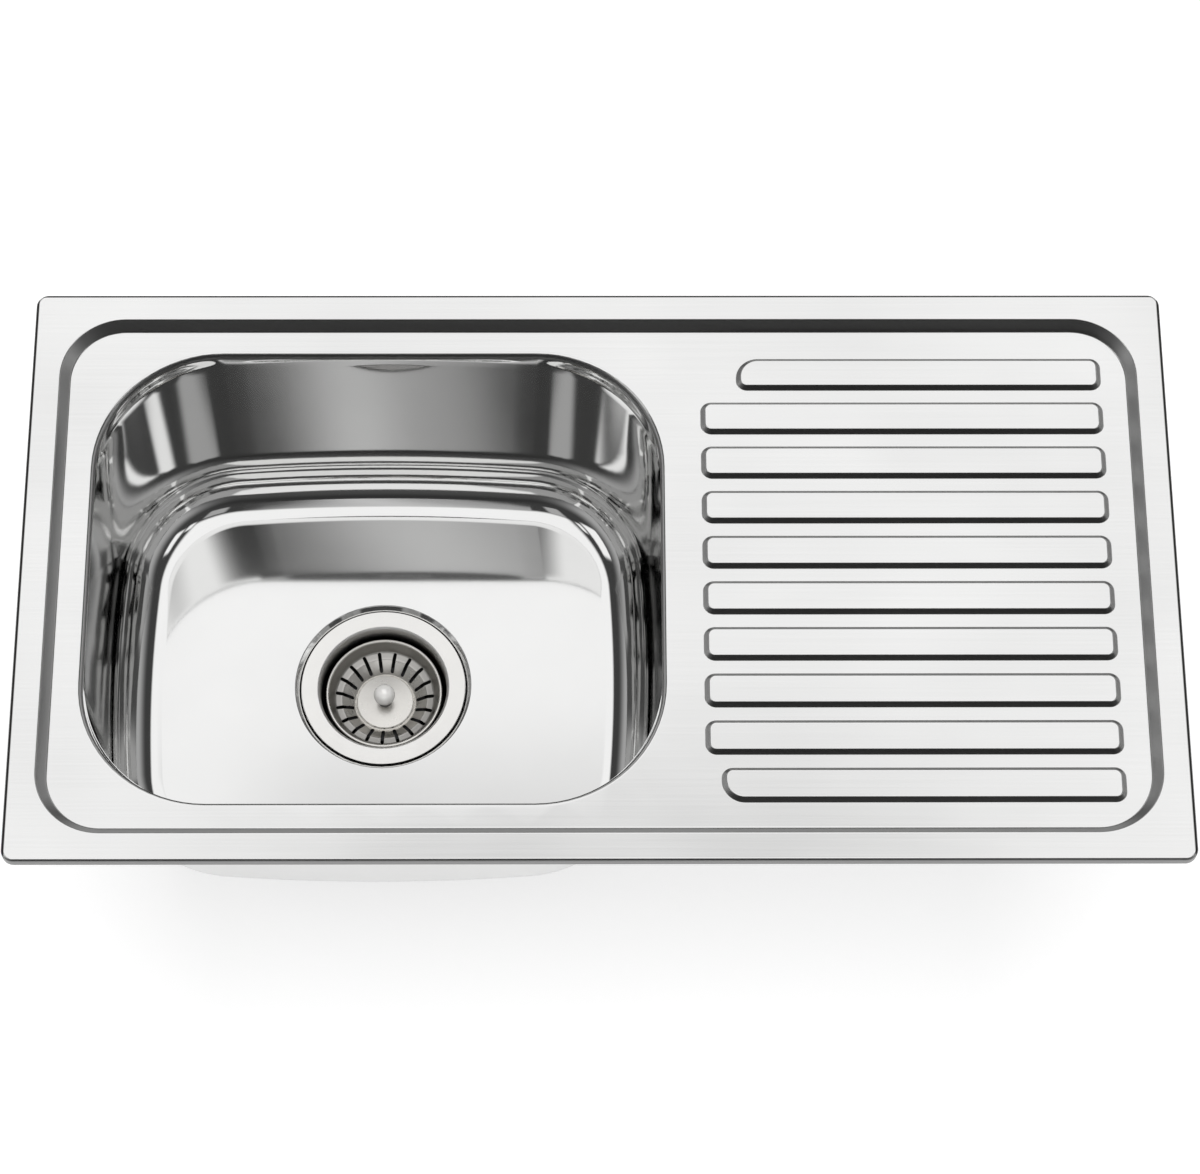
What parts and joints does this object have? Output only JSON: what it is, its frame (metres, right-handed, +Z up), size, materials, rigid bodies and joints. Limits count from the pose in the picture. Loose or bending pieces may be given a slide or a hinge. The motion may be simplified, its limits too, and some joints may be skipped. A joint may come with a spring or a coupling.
{
  "type": "kitchen sink",
  "caption": "Rectangular inset stainless kitchen sink with one bowl, a ribbed drainer, a lift-out basket strainer waste and swing fixing clips under the rim.",
  "frame": {"origin": "centre of the worktop cut-out, on the worktop's top surface, which is the underside of the rim", "axes": "+X along the sink towards the drainer, +Y towards the back, +Z up"},
  "size_m": [0.75, 0.4, 0.2606],
  "materials": {
    "deck_steel": "satin stainless sheet, fine brushed grain along the length",
    "bowl_steel": "semi-polished stainless sheet",
    "waste_steel": "polished stainless pressing",
    "basket_steel": "bright pressed stainless, slightly warm",
    "knob_steel": "satin nickel-plated turning",
    "plated_steel": "bright zinc plating",
    "rubber": "black rubber",
    "foam": "closed-cell foam strip",
    "fibre": "pressed fibre",
    "damping": "bitumen-filled damping sheet",
    "nut_plastic": "moulded white plastic"
  },
  "bodies": {
    "sink": {"deck_panel": "deck_steel", "bowl": "bowl_steel", "rim_seal": "foam", "sound_pad": "damping", "drainer_stiffeners": "plated_steel", "strainer_cup": "waste_steel", "flange_gasket": "rubber", "sink_gasket": "rubber", "friction_ring": "fibre", "back_nut": "nut_plastic", "post_guide": "waste_steel", "catch_ring": "plated_steel", "clip_saddles": "plated_steel", "clip_nuts": "plated_steel"},
    "basket_set": {"basket": "basket_steel", "knob": "knob_steel", "post": "knob_steel", "stopper": "rubber", "stopper_washer": "basket_steel"},
    "clip_1_screw": {"clip_screw_1": "plated_steel"},
    "clip_1_claw": {"clip_claw_1": "plated_steel"},
    "clip_2_screw": {"clip_screw_2": "plated_steel"},
    "clip_2_claw": {"clip_claw_2": "plated_steel"},
    "clip_3_screw": {"clip_screw_3": "plated_steel"},
    "clip_3_claw": {"clip_claw_3": "plated_steel"},
    "clip_4_screw": {"clip_screw_4": "plated_steel"},
    "clip_4_claw": {"clip_claw_4": "plated_steel"},
    "clip_5_screw": {"clip_screw_5": "plated_steel"},
    "clip_5_claw": {"clip_claw_5": "plated_steel"},
    "clip_6_screw": {"clip_screw_6": "plated_steel"},
    "clip_6_claw": {"clip_claw_6": "plated_steel"}
  },
  "joints": [
    {"name": "basket_lift", "type": "slide", "parent": "sink", "child": "basket_set", "axis": [0, 0, 1], "range_m": [0, 0.262]},
    {"name": "clip_1_tighten", "type": "slide", "parent": "sink", "child": "clip_1_screw", "axis": [0, 0, 1], "range_m": [0, 0.014]},
    {"name": "clip_1_swing", "type": "hinge", "parent": "clip_1_screw", "child": "clip_1_claw", "pos_m": [-0.14525, 0.1689, -0.045], "axis": [0, 0, 1], "range_deg": [0, 90]},
    {"name": "clip_2_tighten", "type": "slide", "parent": "sink", "child": "clip_2_screw", "axis": [0, 0, 1], "range_m": [0, 0.014]},
    {"name": "clip_2_swing", "type": "hinge", "parent": "clip_2_screw", "child": "clip_2_claw", "pos_m": [0.2005, 0.1689, -0.045], "axis": [0, 0, 1], "range_deg": [0, 90]},
    {"name": "clip_3_tighten", "type": "slide", "parent": "sink", "child": "clip_3_screw", "axis": [0, 0, 1], "range_m": [0, 0.014]},
    {"name": "clip_3_swing", "type": "hinge", "parent": "clip_3_screw", "child": "clip_3_claw", "pos_m": [0.3439, 0, -0.045], "axis": [0, 0, 1], "range_deg": [0, 90]},
    {"name": "clip_4_tighten", "type": "slide", "parent": "sink", "child": "clip_4_screw", "axis": [0, 0, 1], "range_m": [0, 0.014]},
    {"name": "clip_4_swing", "type": "hinge", "parent": "clip_4_screw", "child": "clip_4_claw", "pos_m": [0.2005, -0.1689, -0.045], "axis": [0, 0, 1], "range_deg": [0, 90]},
    {"name": "clip_5_tighten", "type": "slide", "parent": "sink", "child": "clip_5_screw", "axis": [0, 0, 1], "range_m": [0, 0.014]},
    {"name": "clip_5_swing", "type": "hinge", "parent": "clip_5_screw", "child": "clip_5_claw", "pos_m": [-0.14525, -0.1689, -0.045], "axis": [0, 0, 1], "range_deg": [0, 90]},
    {"name": "clip_6_tighten", "type": "slide", "parent": "sink", "child": "clip_6_screw", "axis": [0, 0, 1], "range_m": [0, 0.014]},
    {"name": "clip_6_swing", "type": "hinge", "parent": "clip_6_screw", "child": "clip_6_claw", "pos_m": [-0.3439, 0, -0.045], "axis": [0, 0, 1], "range_deg": [0, 90]}
  ]
}
